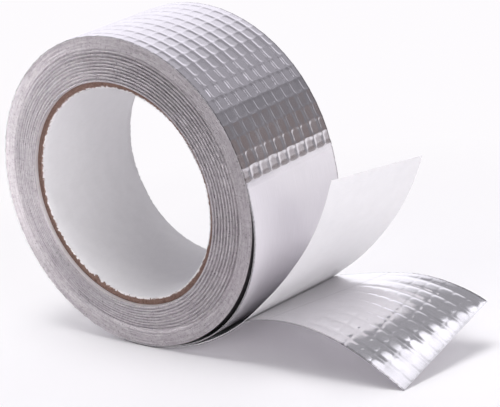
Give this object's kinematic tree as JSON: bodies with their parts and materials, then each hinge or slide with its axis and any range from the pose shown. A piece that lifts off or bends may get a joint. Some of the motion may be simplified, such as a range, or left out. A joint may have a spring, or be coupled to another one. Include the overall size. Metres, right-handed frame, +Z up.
{
  "type": "foil tape roll",
  "caption": "Roll of embossed foil tape wound on a paperboard core, its free end drawn off the bottom and partly peeled from its paper release liner.",
  "frame": {"origin": "centre of the core's bore, midway along its length", "axes": "+Y along the roll's axis, away from the near side face; +X towards the free end; +Z up"},
  "size_m": [0.1713, 0.0519, 0.1139],
  "materials": {
    "embossed_foil": "satin embossed foil",
    "clear_adhesive": "clear tacky acrylic",
    "release_paper": "smooth silicone-coated paper",
    "wound_layers": "satin cut edges of foil and paper",
    "kraft_board": "matte brown paperboard",
    "white_paper": "smooth white paper",
    "pale_paper": "matte pale paper"
  },
  "bodies": {
    "roll": {"core_inner_ply": "white_paper", "core_kraft_ply_1": "kraft_board", "core_kraft_ply_2": "kraft_board", "core_kraft_ply_3": "kraft_board", "core_outer_ply": "pale_paper", "wound_pack": "wound_layers", "outer_turn_foil": "embossed_foil", "outer_turn_adhesive": "clear_adhesive", "outer_turn_liner": "release_paper"},
    "free_tape": {"end_foil": "embossed_foil", "end_adhesive": "clear_adhesive"},
    "free_liner": {"end_liner": "release_paper"}
  },
  "joints": [
    {"name": "tape_lift", "type": "hinge", "parent": "roll", "child": "free_tape", "pos_m": [0.06654, 0.00016, -0.03705], "axis": [-0.3604, -0.9312, -0.0543], "range_deg": [0, 30]},
    {"name": "liner_bend", "type": "hinge", "parent": "roll", "child": "free_liner", "pos_m": [0.05959, 0.00035, -0.03265], "axis": [-0.263, -0.9546, -0.1399], "range_deg": [-15, 30], "stiffness_Nm_per_rad": 0.002}
  ]
}
